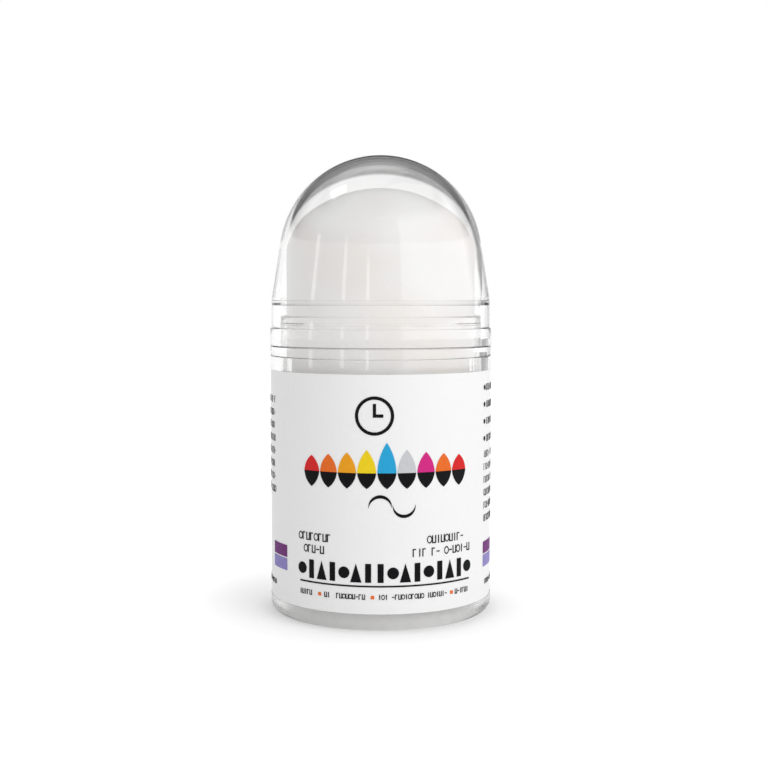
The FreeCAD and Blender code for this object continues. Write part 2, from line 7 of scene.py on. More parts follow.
import logging
import math
import random
from dataclasses import dataclass, field
from enum import Enum

import bmesh
import bpy
from mathutils import Matrix, Vector, noise


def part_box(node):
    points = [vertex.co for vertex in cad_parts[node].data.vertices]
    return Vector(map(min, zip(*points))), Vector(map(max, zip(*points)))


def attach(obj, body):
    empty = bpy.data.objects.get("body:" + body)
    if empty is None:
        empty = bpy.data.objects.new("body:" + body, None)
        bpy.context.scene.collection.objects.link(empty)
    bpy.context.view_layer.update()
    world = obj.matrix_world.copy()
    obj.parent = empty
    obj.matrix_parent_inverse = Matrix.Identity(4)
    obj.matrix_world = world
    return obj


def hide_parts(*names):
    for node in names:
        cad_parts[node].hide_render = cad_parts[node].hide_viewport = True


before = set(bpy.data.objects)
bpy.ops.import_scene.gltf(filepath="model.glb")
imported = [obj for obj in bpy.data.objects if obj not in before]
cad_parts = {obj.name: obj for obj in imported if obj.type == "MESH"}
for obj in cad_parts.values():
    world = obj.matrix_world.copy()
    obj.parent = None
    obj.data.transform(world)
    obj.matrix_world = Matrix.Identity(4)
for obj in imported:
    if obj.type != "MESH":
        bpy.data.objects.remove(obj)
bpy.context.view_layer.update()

logging.basicConfig(level=logging.INFO, format="%(name)s: %(message)s")
log = logging.getLogger("deodorant_stick")

MM = 0.001
UP = Vector((0.0, 0.0, 1.0))
PROFILE_NORMAL = Vector((0.0, 1.0, 0.0))
TURN_STEPS = 192
ARC_STEP = math.radians(12.0)
SHARP_ANGLE = math.radians(28.0)
POINT_MERGE = 1e-5
SEAM_MERGE = 1e-4
PLASTIC_IOR = 1.5


def node_radius(node: str) -> float:
    """Outer radius of a CAD node that stands on the axis, in millimetres."""
    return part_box(node)[1].x / MM


def node_low(node: str) -> float:
    """Height of a CAD node's lowest point, in millimetres."""
    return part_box(node)[0].z / MM


def node_high(node: str) -> float:
    """Height of a CAD node's highest point, in millimetres."""
    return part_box(node)[1].z / MM


@dataclass(frozen=True)
class Corner:
    """One corner of a turned outline, in millimetres."""

    radius: float
    height: float
    rounding: float = 0.0

    @property
    def point(self) -> Vector:
        """The corner in the XZ plane."""
        return Vector((self.radius, 0.0, self.height))


class Profile:
    """Pen that draws an outline in the XZ plane with bmesh operators and turns it about Z."""

    def __init__(self, start: Corner) -> None:
        """Put the pen down.

        Args:
            start: First point of the outline.
        """
        self.mesh = bmesh.new()
        self.pen = bmesh.ops.create_vert(self.mesh, co=start.point)["vert"][0]

    def line_to(self, point: Vector) -> None:
        """Draw a straight edge.

        Args:
            point: End of the edge.
        """
        if (point - self.pen.co).length < POINT_MERGE / 10.0:
            return
        made = bmesh.ops.extrude_vert_indiv(self.mesh, verts=[self.pen])["verts"][0]
        bmesh.ops.translate(self.mesh, verts=[made], vec=point - self.pen.co)
        self.pen = made

    def arc_about(self, centre: Vector, angle: float, steps: int) -> None:
        """Draw an arc.

        Args:
            centre: Middle of the arc in the XZ plane.
            angle: Turn about +Y in radians, from +Z towards +X where positive.
            steps: Number of edges.
        """
        made = bmesh.ops.spin(self.mesh, geom=[self.pen], cent=centre, axis=PROFILE_NORMAL,
                              dvec=Vector(), angle=angle, steps=steps, use_duplicate=False)
        self.pen = made["geom_last"][0]

    def corners(self, outline: list[Corner]) -> None:
        """Draw straight edges through corners, with a tangent arc at each rounded one.

        Args:
            outline: Corners after the pen's place; the last one is not rounded.
        """
        for index, corner in enumerate(outline):
            if corner.rounding <= 0.0 or index + 1 == len(outline):
                self.line_to(corner.point)
                continue
            back = (self.pen.co - corner.point).normalized()
            ahead = (outline[index + 1].point - corner.point).normalized()
            half = back.angle(ahead) / 2.0
            reach = corner.rounding / math.tan(half)
            centre = corner.point + (back + ahead).normalized() * (corner.rounding / math.sin(half))
            turn = math.pi - 2.0 * half
            bend = math.copysign(1.0, back.cross(ahead).y)
            self.line_to(corner.point + back * reach)
            self.arc_about(centre, -bend * turn, max(3, round(turn / ARC_STEP)))

    def close(self, start: Corner) -> None:
        """Draw the last edge back to the start.

        Args:
            start: First point of the outline.
        """
        self.line_to(start.point)
        bmesh.ops.remove_doubles(self.mesh, verts=self.mesh.verts, dist=POINT_MERGE)

    def turned(self, name: str, shade: "Finish") -> bpy.types.Object:
        """Turn the outline a full turn about Z and make the object.

        Args:
            name: Name of the object.
            shade: Finish that it gets.

        Returns:
            The new object, in metres.
        """
        geometry = [*self.mesh.verts, *self.mesh.edges]
        bmesh.ops.spin(self.mesh, geom=geometry, cent=Vector(), axis=UP, dvec=Vector(),
                       angle=math.tau, steps=TURN_STEPS, use_merge=True, use_duplicate=False)
        return finish_mesh(self.mesh, name, shade)


def finish_mesh(mesh: bmesh.types.BMesh, name: str, shade: "Finish",
                scale: float = MM) -> bpy.types.Object:
    """Close seams and poles, face the surface outwards and make a smooth object.

    Args:
        mesh: Geometry, freed here.
        name: Name of the object.
        shade: Finish that it gets.
        scale: Metres for one unit of the mesh.

    Returns:
        The new object, at the origin.
    """
    bmesh.ops.remove_doubles(mesh, verts=mesh.verts, dist=SEAM_MERGE)
    bmesh.ops.recalc_face_normals(mesh, faces=mesh.faces)
    bmesh.ops.scale(mesh, vec=Vector((scale, scale, scale)), verts=mesh.verts)
    data = bpy.data.meshes.new(name)
    mesh.to_mesh(data)
    mesh.free()
    for polygon in data.polygons:
        polygon.use_smooth = True
    data.set_sharp_from_angle(angle=SHARP_ANGLE)
    data.materials.append(shade.material())
    made = bpy.data.objects.new(name, data)
    bpy.context.scene.collection.objects.link(made)
    return made


class Sketch:
    """Short calls for making and joining shader nodes in one tree."""

    def __init__(self, tree: bpy.types.NodeTree) -> None:
        """Take a tree to draw in.

        Args:
            tree: Node tree of a material, group or world.
        """
        self.tree = tree

    def add(self, kind: str, **settings: object) -> bpy.types.Node:
        """Add a node.

        Args:
            kind: Class name of the node without the ShaderNode in front.
            **settings: Properties to set on it.

        Returns:
            The node.
        """
        node = self.tree.nodes.new("ShaderNode" + kind)
        for name, value in settings.items():
            setattr(node, name, value)
        return node

    def feed(self, node: bpy.types.Node, values: dict[object, object]) -> bpy.types.Node:
        """Give sockets a constant or a link.

        Args:
            node: Node whose inputs are fed.
            values: Socket name or place, to a constant or an output socket.

        Returns:
            The same node.
        """
        for key, value in values.items():
            if isinstance(value, bpy.types.NodeSocket):
                self.tree.links.new(value, node.inputs[key])
            else:
                node.inputs[key].default_value = value
        return node

    def math(self, operation: str, first: object, second: object = 0.0) -> bpy.types.NodeSocket:
        """Add a Math node.

        Args:
            operation: Name of the operation.
            first: Constant or output socket.
            second: Constant or output socket.

        Returns:
            The node's output.
        """
        node = self.add("Math", operation=operation)
        return self.feed(node, {0: first, 1: second}).outputs[0]

    def ramp(self, value: object, low: float, high: float, start: float = 0.0,
             end: float = 1.0) -> bpy.types.NodeSocket:
        """Add a smooth step from one number to another.

        Args:
            value: Constant or output socket.
            low: Input at which the step starts.
            high: Input at which it ends.
            start: Output before the step.
            end: Output after it.

        Returns:
            The node's output.
        """
        node = self.add("MapRange", interpolation_type="SMOOTHSTEP")
        self.feed(node, {"Value": value, "From Min": low, "From Max": high,
                         "To Min": start, "To Max": end})
        return node.outputs["Result"]


class SurfaceGrain:
    """Shader group shared by the finishes: soft mottling as a value, a tint and a height."""

    NAME = "surface_grain"
    DETAIL = 3.0
    ROUGHNESS = 0.55
    SPREAD = (0.32, 0.68)

    @classmethod
    def group(cls) -> bpy.types.NodeTree:
        """Build the group once.

        Returns:
            Node group with Scale, Low, High, Shade and Tone inputs, and Value, Colour and
            Height outputs.
        """
        if cls.NAME in bpy.data.node_groups:
            return bpy.data.node_groups[cls.NAME]
        tree = bpy.data.node_groups.new(cls.NAME, "ShaderNodeTree")
        face = tree.interface
        for name, kind, default in (("Scale", "NodeSocketFloat", 400.0),
                                    ("Low", "NodeSocketFloat", 0.3),
                                    ("High", "NodeSocketFloat", 0.4),
                                    ("Shade", "NodeSocketFloat", 0.04)):
            socket = face.new_socket(name=name, in_out="INPUT", socket_type=kind)
            socket.default_value = default
        face.new_socket(name="Tone", in_out="INPUT", socket_type="NodeSocketColor")
        face.new_socket(name="Value", in_out="OUTPUT", socket_type="NodeSocketFloat")
        face.new_socket(name="Colour", in_out="OUTPUT", socket_type="NodeSocketColor")
        face.new_socket(name="Height", in_out="OUTPUT", socket_type="NodeSocketFloat")
        draw = Sketch(tree)
        given = tree.nodes.new("NodeGroupInput")
        given_out = tree.nodes.new("NodeGroupOutput")
        place = draw.add("TexCoord").outputs["Object"]
        cloud = draw.add("TexNoise", noise_dimensions="3D")
        draw.feed(cloud, {"Vector": place, "Scale": given.outputs["Scale"],
                          "Detail": cls.DETAIL, "Roughness": cls.ROUGHNESS})
        spread = draw.ramp(cloud.outputs["Fac"], *cls.SPREAD)
        value = draw.add("MapRange")
        draw.feed(value, {"Value": spread, "To Min": given.outputs["Low"],
                          "To Max": given.outputs["High"]})
        darker = draw.math("MULTIPLY", spread, given.outputs["Shade"])
        tone = draw.add("Mix", data_type="RGBA", blend_type="MULTIPLY")
        keep = draw.math("SUBTRACT", 1.0, darker)
        grey = draw.add("CombineColor")
        draw.feed(grey, {"Red": keep, "Green": keep, "Blue": keep})
        draw.feed(tone, {0: 1.0, 6: given.outputs["Tone"], 7: grey.outputs["Color"]})
        draw.feed(given_out, {"Value": value.outputs["Result"], "Colour": tone.outputs[2],
                              "Height": spread})
        return tree

    @classmethod
    def place(cls, draw: Sketch, scale: float, roughness: tuple[float, float], shade: float,
              tone: tuple[float, float, float]) -> bpy.types.Node:
        """Add the group to a material.

        Args:
            draw: Sketch of the material's tree.
            scale: Scale of the mottling, in marks per metre.
            roughness: Least and greatest value.
            shade: How much darker the tone gets.
            tone: Colour that is mottled.

        Returns:
            The group's node.
        """
        node = draw.add("Group", node_tree=cls.group())
        return draw.feed(node, {"Scale": scale, "Low": roughness[0], "High": roughness[1],
                                "Shade": shade, "Tone": (*tone, 1.0)})


@dataclass(frozen=True)
class Finish:
    """Opaque plastic, film or ink."""

    name: str
    colour: tuple[float, float, float]
    roughness: tuple[float, float] = (0.35, 0.45)
    grain: float = 500.0
    shade: float = 0.03
    bump: float = 0.0
    bump_depth: float = 0.1 * MM
    shine: float = 0.5

    def material(self) -> bpy.types.Material:
        """The Blender material, made at the first call."""
        title = self.name + "_look"
        if title in bpy.data.materials:
            return bpy.data.materials[title]
        made = bpy.data.materials.new(title)
        made.use_nodes = True
        draw = Sketch(made.node_tree)
        self.dress(draw, made.node_tree.nodes["Principled BSDF"])
        return made

    def dress(self, draw: Sketch, surface: bpy.types.Node) -> None:
        """Fill in the Principled shader.

        Args:
            draw: Sketch of the material's tree.
            surface: The Principled node.
        """
        grain = SurfaceGrain.place(draw, self.grain, self.roughness, self.shade, self.colour)
        draw.feed(surface, {"Base Color": grain.outputs["Colour"],
                            "Roughness": grain.outputs["Value"],
                            "IOR": PLASTIC_IOR, "Specular IOR Level": self.shine})
        if self.bump > 0.0:
            self.bumped(draw, surface, grain)

    def bumped(self, draw: Sketch, surface: bpy.types.Node, grain: bpy.types.Node) -> None:
        """Feed the grain's height into the shader's normal.

        Args:
            draw: Sketch of the material's tree.
            surface: The Principled node.
            grain: The grain group's node.
        """
        bump = draw.add("Bump")
        draw.feed(bump, {"Strength": self.bump, "Distance": self.bump_depth,
                         "Height": grain.outputs["Height"]})
        draw.feed(surface, {"Normal": bump.outputs["Normal"]})


@dataclass(frozen=True)
class ClearFinish(Finish):
    """Clear moulded plastic that lets the lamps through to what is behind it."""

    frost_height: float = 0.0
    frost_edge: float = 0.1 * MM
    frost_colour: tuple[float, float, float] = (0.96, 0.958, 0.954)
    frost_roughness: float = 0.2

    def dress(self, draw: Sketch, surface: bpy.types.Node) -> None:
        """Fill in the Principled shader, frosted below a height, and let lamps through.

        Args:
            draw: Sketch of the material's tree.
            surface: The Principled node.
        """
        grain = SurfaceGrain.place(draw, self.grain, self.roughness, self.shade, self.colour)
        draw.feed(surface, {"Base Color": (*self.colour, 1.0), "Transmission Weight": 1.0,
                            "IOR": PLASTIC_IOR, "Roughness": grain.outputs["Value"]})
        if self.frost_height > 0.0:
            split = draw.feed(draw.add("SeparateXYZ"), {0: draw.add("TexCoord").outputs["Object"]})
            frosted = draw.ramp(split.outputs["Z"], self.frost_height - self.frost_edge,
                                self.frost_height + self.frost_edge, 1.0, 0.0)
            rough = draw.add("Mix", data_type="FLOAT")
            draw.feed(rough, {0: frosted, 2: grain.outputs["Value"], 3: self.frost_roughness})
            tint = draw.add("Mix", data_type="RGBA")
            draw.feed(tint, {0: frosted, 6: (*self.colour, 1.0), 7: (*self.frost_colour, 1.0)})
            draw.feed(surface, {"Base Color": tint.outputs[2], "Roughness": rough.outputs[0]})
        path = draw.add("LightPath")
        lamp = draw.math("MAXIMUM", path.outputs["Is Shadow Ray"], path.outputs["Is Diffuse Ray"])
        clear = draw.feed(draw.add("BsdfTransparent"), {"Color": (*self.colour, 1.0)})
        mix = draw.add("MixShader")
        draw.feed(mix, {0: lamp, 1: surface.outputs["BSDF"], 2: clear.outputs["BSDF"]})
        out = draw.tree.nodes["Material Output"]
        draw.feed(out, {"Surface": mix.outputs["Shader"]})


@dataclass(frozen=True)
class StoneFinish(Finish):
    """Cast mineral salt: cloudy, a little see-through, with a polished dome."""

    cloud: tuple[float, float, float] = (0.92, 0.92, 0.915)
    warm: tuple[float, float, float] = (0.89, 0.84, 0.80)
    cloud_scale: float = 55.0
    cloud_spread: tuple[float, float] = (0.38, 0.66)
    patch_scale: float = 38.5
    patch_seed: float = 3.0
    patch_spread: tuple[float, float] = (0.48, 0.66)
    patch_strength: float = 0.7
    ior: float = 1.46
    coat: float = 0.1
    coat_roughness: float = 0.08
    subsurface: float = 0.5
    subsurface_radius: tuple[float, float, float] = (1.0, 0.97, 0.93)
    subsurface_scale: float = 4.0 * MM

    def dress(self, draw: Sketch, surface: bpy.types.Node) -> None:
        """Fill in the Principled shader with slow clouds under the surface.

        Args:
            draw: Sketch of the material's tree.
            surface: The Principled node.
        """
        grain = SurfaceGrain.place(draw, self.grain, self.roughness, self.shade, self.colour)
        place = draw.add("TexCoord").outputs["Object"]
        cloud = draw.add("TexNoise", noise_dimensions="3D")
        draw.feed(cloud, {"Vector": place, "Scale": self.cloud_scale, "Detail": 4.0,
                          "Roughness": 0.5, "Distortion": 0.4})
        amount = draw.ramp(cloud.outputs["Fac"], *self.cloud_spread)
        mix = draw.add("Mix", data_type="RGBA")
        draw.feed(mix, {0: amount, 6: grain.outputs["Colour"], 7: (*self.cloud, 1.0)})
        patch = draw.add("TexNoise", noise_dimensions="4D")
        draw.feed(patch, {"Vector": place, "W": self.patch_seed, "Scale": self.patch_scale,
                          "Detail": 2.0})
        warmth = draw.ramp(patch.outputs["Fac"], *self.patch_spread, 0.0, self.patch_strength)
        tint = draw.add("Mix", data_type="RGBA")
        draw.feed(tint, {0: warmth, 6: mix.outputs[2], 7: (*self.warm, 1.0)})
        self.bumped(draw, surface, grain)
        draw.feed(surface, {"Base Color": tint.outputs[2], "Roughness": grain.outputs["Value"],
                            "IOR": self.ior, "Coat Weight": self.coat,
                            "Coat Roughness": self.coat_roughness,
                            "Subsurface Weight": self.subsurface,
                            "Subsurface Radius": self.subsurface_radius,
                            "Subsurface Scale": self.subsurface_scale})


class Plastic(Enum):
    """Finishes of the moulded pieces."""

    CAP = ClearFinish("clear_cap", (0.992, 0.991, 0.99), (0.0, 0.012), 260.0)
    BARREL = ClearFinish("barrel_plastic", (0.986, 0.985, 0.984), (0.0, 0.03), 260.0,
                         frost_height=4.1 * MM)
    FILM = Finish("label_film", (0.93, 0.93, 0.93), (0.42, 0.5), 900.0, 0.01, shine=0.3)
    STONE = StoneFinish("alum", (0.90, 0.885, 0.87), (0.3, 0.42), 700.0, 0.02, 0.15, 0.2 * MM)
    CARRIER = Finish("carrier_plastic", (0.94, 0.935, 0.92), (0.4, 0.5), 600.0, 0.02, 0.1)
    SCREW = Finish("screw_plastic", (0.90, 0.90, 0.88), (0.35, 0.45), 600.0, 0.02, 0.1)
    DIAL = Finish("dial_plastic", (0.94, 0.94, 0.935), (0.4, 0.5), 600.0, 0.04, 0.2)


INK_SHEEN = (0.45, 0.55)
INK_SHINE = 0.06


class Ink(Enum):
    """Inks of the print."""

    BLACK = Finish("ink_black", (0.006, 0.006, 0.007), INK_SHEEN, 1500.0, 0.1, shine=INK_SHINE)
    PURPLE = Finish("ink_purple", (0.17, 0.035, 0.19), INK_SHEEN, 1500.0, 0.05, shine=INK_SHINE)
    LAVENDER = Finish("ink_lavender", (0.30, 0.26, 0.58), INK_SHEEN, 1500.0, 0.05, shine=INK_SHINE)
    RED = Finish("ink_red", (0.72, 0.03, 0.03), INK_SHEEN, 1500.0, 0.05, shine=INK_SHINE)
    ORANGE = Finish("ink_orange", (0.85, 0.17, 0.03), INK_SHEEN, 1500.0, 0.05, shine=INK_SHINE)
    AMBER = Finish("ink_amber", (0.90, 0.38, 0.02), INK_SHEEN, 1500.0, 0.05, shine=INK_SHINE)
    YELLOW = Finish("ink_yellow", (0.92, 0.68, 0.02), INK_SHEEN, 1500.0, 0.05, shine=INK_SHINE)
    BLUE = Finish("ink_blue", (0.03, 0.40, 0.72), INK_SHEEN, 1500.0, 0.05, shine=INK_SHINE)
    GREY = Finish("ink_grey", (0.62, 0.63, 0.66), INK_SHEEN, 1500.0, 0.05, shine=INK_SHINE)
    MAGENTA = Finish("ink_magenta", (0.68, 0.03, 0.24), INK_SHEEN, 1500.0, 0.05, shine=INK_SHINE)


def redress(node: str, finish: Finish) -> None:
    """Give a CAD node that stays a better material.

    Args:
        node: Name of the node.
        finish: Its finish.
    """
    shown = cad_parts[node]
    if not shown.material_slots:
        shown.data.materials.append(finish.material())
    for slot in shown.material_slots:
        slot.material = finish.material()
    log.info("%s: %s", node, finish.name)


def settle(piece: bpy.types.Object, body: str, node: str) -> None:
    """Let a new piece ride on a body in place of a CAD node.

    Args:
        piece: The new object.
        body: Body that carries it.
        node: Node that it stands for.
    """
    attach(piece, body)
    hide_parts(node)
    log.info("%s: %d faces, in place of %s", piece.name, len(piece.data.polygons), node)


@dataclass
class Overcap:
    """Clear domed cap, in millimetres."""

    band_height: float = 4.1
    band_step: float = 0.35
    band_rounding: float = 0.12
    edge_rounding: float = 0.2
    skirt_rounding: float = 0.12
    mouth_rounding: float = 0.15
    skirt_height: float = 10.3
    taper: float = 9.0
    crown_inset: float = 2.2
    crown_wall: float = 1.8
    side_wall: float = 0.9
    inner_taper: float = 5.6
    bore: float = 23.35
    stop_height: float = 9.4
    lead_in: float = 0.2
    crown_steps: int = 44

    def crown(self, pen: Profile, centre: float, taper: float, inwards: bool) -> None:
        """Draw a leaning side's crown arc between the side and the axis.

        Args:
            pen: Profile whose pen stands at the arc's start.
            centre: Height of the crown's middle.
            taper: Lean of the side in degrees, where the arc meets it.
            inwards: True from the side up to the axis, False from the axis down.
        """
        angle = math.radians(90.0 - taper)
        turn = -angle if inwards else angle
        pen.arc_about(Vector((0.0, 0.0, centre)), turn, self.crown_steps)

    def build(self) -> bpy.types.Object:
        """Turn the cap's wall from the inner crown down, round the lip and up to the top.

        Returns:
            The cap's object.
        """
        radius = node_radius("overcap")
        low, top = node_low("overcap"), node_high("overcap")
        outer = radius - self.crown_inset
        inner = outer - self.side_wall
        inner_top = top - self.crown_wall
        stop = low + self.stop_height
        skirt_top = low + self.skirt_height
        skirt = radius - self.band_step
        inner_foot = self.side_foot(inner, inner_top, self.inner_taper, stop)
        outer_foot = self.side_foot(outer, top, self.taper, skirt_top)
        pen = Profile(Corner(0.0, inner_top))
        self.crown(pen, inner_top - inner, self.inner_taper, False)
        pen.corners([
            Corner(inner_foot, stop),
            Corner(self.bore, stop, self.mouth_rounding),
            Corner(self.bore, low + self.lead_in),
            Corner(self.bore + self.lead_in, low, self.mouth_rounding),
            Corner(radius, low, self.band_rounding),
            Corner(radius, low + self.band_height, self.edge_rounding),
            Corner(skirt, low + self.band_height),
            Corner(skirt, skirt_top, self.skirt_rounding),
            Corner(outer_foot, skirt_top),
            self.side_join(outer, top, self.taper)])
        self.crown(pen, top - outer, self.taper, True)
        return pen.turned("cap_shell", Plastic.CAP.value)

    @staticmethod
    def side_join(radius: float, top: float, taper: float) -> Corner:
        """Where a leaning side meets the crown.

        Args:
            radius: Radius of the crown.
            top: Height of the crown's top.
            taper: Lean of the side in degrees.

        Returns:
            The corner.
        """
        lean = math.radians(taper)
        return Corner(radius * math.cos(lean), top - radius + radius * math.sin(lean))

    def side_foot(self, radius: float, top: float, taper: float, foot: float) -> float:
        """Radius of a leaning side at its foot.

        Args:
            radius: Radius of the crown.
            top: Height of the crown's top.
            taper: Lean of the side in degrees.
            foot: Height of the foot.

        Returns:
            The radius there.
        """
        join = self.side_join(radius, top, taper)
        return join.radius + (join.height - foot) * math.tan(math.radians(taper))

    def dress(self) -> None:
        """Build the cap and let it ride."""
        settle(self.build(), "cap", "overcap")


@dataclass
class Barrel:
    """Clear barrel with its neck, floor and guide ribs, in millimetres."""

    wall: float = 2.4
    base_rounding: float = 2.2
    base_ring: float = 1.1
    ring_rounding: float = 0.15
    recess_depth: float = 9.5
    recess_rounding: float = 0.2
    floor_thickness: float = 2.0
    floor_rounding: float = 0.4
    journal_bore: float = 3.56
    film_and_glue: float = 0.16
    shoulder_thickness: float = 2.3
    neck_height: float = 6.9
    shoulder_rounding: float = 0.1
    underside_rounding: float = 0.1
    neck_setback: float = 2.4
    neck_wall: float = 0.9
    bead: float = 0.15
    bead_below_rim: float = 1.8
    rim_rounding: float = 0.3
    rib_count: int = 3
    rib_width: float = 2.0
    rib_setback: float = 0.1
    rib_rounding: float = 0.15

    def build(self) -> bpy.types.Object:
        """Turn the barrel's wall and floor and add the ribs inside it.

        Returns:
            The barrel's object.
        """
        radius, top = node_radius("barrel"), node_high("barrel")
        bore = radius - self.wall
        recess = radius - self.base_rounding - self.base_ring
        neck = radius - self.neck_setback
        neck_bore = neck - self.neck_wall
        shoulder = top - self.neck_height
        underside = shoulder - self.shoulder_thickness
        floor = self.recess_depth + self.floor_thickness
        seat = node_radius("label") - self.film_and_glue
        film_low, film_high = node_low("label"), node_high("label")
        bead = top - self.bead_below_rim
        start = Corner(self.journal_bore, floor)
        pen = Profile(start)
        pen.corners([
            Corner(self.journal_bore, self.recess_depth),
            Corner(recess, self.recess_depth, self.recess_rounding),
            Corner(recess, 0.0, self.ring_rounding),
            Corner(radius, 0.0, self.base_rounding),
            Corner(radius, film_low),
            Corner(seat, film_low),
            Corner(seat, film_high),
            Corner(radius, film_high),
            Corner(radius, shoulder, self.shoulder_rounding),
            Corner(neck, shoulder),
            Corner(neck, bead - 2 * self.bead),
            Corner(neck + self.bead, bead - self.bead),
            Corner(neck + self.bead, bead + self.bead),
            Corner(neck, bead + 2 * self.bead),
            Corner(neck, top, self.rim_rounding),
            Corner(neck_bore, top, self.rim_rounding),
            Corner(neck_bore, underside, self.underside_rounding),
            Corner(bore, underside, self.underside_rounding),
            Corner(bore, floor, self.floor_rounding),
            start])
        pen.close(start)
        ribs = self.ribs(bore, neck_bore + self.rib_setback, floor, underside)
        shell = pen.turned("barrel_shell", Plastic.BARREL.value)
        joined = bmesh.new()
        joined.from_mesh(shell.data)
        joined.from_mesh(ribs)
        joined.to_mesh(shell.data)
        joined.free()
        bpy.data.meshes.remove(ribs)
        return shell

    def ribs(self, bore: float, inner: float, low: float, high: float) -> bpy.types.Mesh:
        """Guide ribs on the inner wall.

        Args:
            bore: Radius of the wall that they stand on.
            inner: Radius of their inner faces.
            low: Height of their feet.
            high: Height of their tops.

        Returns:
            A mesh in metres with all ribs.
        """
        mesh = bmesh.new()
        size = Vector((bore - inner, self.rib_width, high - low)) * MM
        middle = Vector(((bore + inner) / 2, 0.0, (high + low) / 2)) * MM
        for index in range(self.rib_count):
            turn = Matrix.Rotation(math.pi / 2 + math.tau * index / self.rib_count, 4, "Z")
            place = turn @ Matrix.Translation(middle) @ Matrix.Diagonal((*size, 1.0))
            bmesh.ops.create_cube(mesh, size=1.0, matrix=place)
        bmesh.ops.bevel(mesh, geom=mesh.edges[:], offset=self.rib_rounding * MM,
                        affect="EDGES", segments=2, profile=0.5, material=-1)
        made = bpy.data.meshes.new("guide_ribs")
        mesh.to_mesh(made)
        mesh.free()
        return made

    def dress(self) -> None:
        """Build the barrel and let it ride."""
        settle(self.build(), "barrel", "barrel")


@dataclass
class LabelFilm:
    """White film wrapped round the barrel, in millimetres."""

    film: float = 0.12
    seam: float = 0.8

    def build(self) -> bpy.types.Object:
        """Turn the film's section from one side of the seam round to the other.

        Returns:
            The label's object.
        """
        outer = node_radius("label")
        low, high = node_low("label"), node_high("label")
        half = self.seam / outer / 2.0
        section = Matrix.Rotation(math.pi / 2 + half, 4, "Z")
        mesh = bmesh.new()
        corners = [(outer - self.film, low), (outer, low), (outer, high), (outer - self.film, high)]
        rim = [bmesh.ops.create_vert(mesh, co=section @ Vector((radius, 0.0, height)))["vert"][0]
               for radius, height in corners]
        bmesh.ops.contextual_create(mesh, geom=rim)
        bmesh.ops.delete(mesh, geom=mesh.faces[:], context="FACES_ONLY")
        bmesh.ops.spin(mesh, geom=[*mesh.verts, *mesh.edges], cent=Vector(), axis=UP,
                       dvec=Vector(), angle=math.tau - 2 * half, steps=TURN_STEPS,
                       use_duplicate=False)
        ends = [edge for edge in mesh.edges if edge.is_boundary]
        bmesh.ops.holes_fill(mesh, edges=ends, sides=4)
        return finish_mesh(mesh, "label_sleeve", Plastic.FILM.value)

    def dress(self) -> None:
        """Build the label and let it ride."""
        settle(self.build(), "barrel", "label")


@dataclass
class Stone:
    """Cast stone with a domed top, in millimetres."""

    crown_radius: float = 27.0
    crown_half_angle: float = 38.0
    foot_rounding: float = 0.6
    bore: float = 7.1
    bore_top: float = 69.0
    bore_rounding: float = 0.3
    bore_foot_rounding: float = 0.2
    side_steps: int = 10
    edge_steps: int = 16
    crown_steps: int = 18
    unevenness: float = 0.14
    lump_size: float = 11.0

    def build(self) -> bpy.types.Object:
        """Turn the stone and let its skin wander a little inwards, as cast salt does.

        Returns:
            The stone's object.
        """
        radius = node_radius("alum_stone")
        low, top = node_low("alum_stone"), node_high("alum_stone")
        half = math.radians(self.crown_half_angle)
        join = self.crown_radius * math.sin(half)
        join_height = top - self.crown_radius * (1.0 - math.cos(half))
        edge = (radius - join) / (1.0 - math.sin(half))
        side_top = join_height - edge * math.cos(half)
        pen = Profile(Corner(0.0, self.bore_top))
        pen.corners([
            Corner(self.bore, self.bore_top, self.bore_rounding),
            Corner(self.bore, low, self.bore_foot_rounding),
            Corner(radius, low, self.foot_rounding),
            *[Corner(radius, low + (side_top - low) * (step + 1) / self.side_steps)
              for step in range(self.side_steps)]])
        pen.arc_about(Vector((radius - edge, 0.0, side_top)), half - math.pi / 2,
                      self.edge_steps)
        pen.arc_about(Vector((0.0, 0.0, top - self.crown_radius)), -half, self.crown_steps)
        made = pen.turned("stone_cast", Plastic.STONE.value)
        crown_centre = (top - self.crown_radius) * MM
        for vertex in made.data.vertices:
            reach = vertex.co.xy.length
            inside = reach < 1.2 * self.bore * MM and vertex.co.z <= self.bore_top * MM
            if inside or vertex.co.z <= (low + self.foot_rounding) * MM:
                continue
            outwards = vertex.co - Vector((0.0, 0.0, min(vertex.co.z, crown_centre)))
            spot = vertex.co / (self.lump_size * MM)
            depth = (noise.noise(spot) * 0.5 + 0.5) * self.unevenness * MM
            vertex.co -= outwards.normalized() * depth
        return made

    def dress(self) -> None:
        """Build the stone and let it ride."""
        settle(self.build(), "carrier", "alum_stone")


class Mark(Enum):
    """Plain marks that small print is made of."""

    STROKE = "stroke"
    BRIDGE = "bridge"
    HOOK = "hook"
    RING = "ring"
    DASH = "dash"


@dataclass
class PrintLine:
    """One line of small print.

    Angles are in degrees from the front (-Y) towards +X, sizes in millimetres.
    """

    start: float
    end: float
    height: float
    tall: float
    weight: float
    gaps: tuple[float, ...] = ()


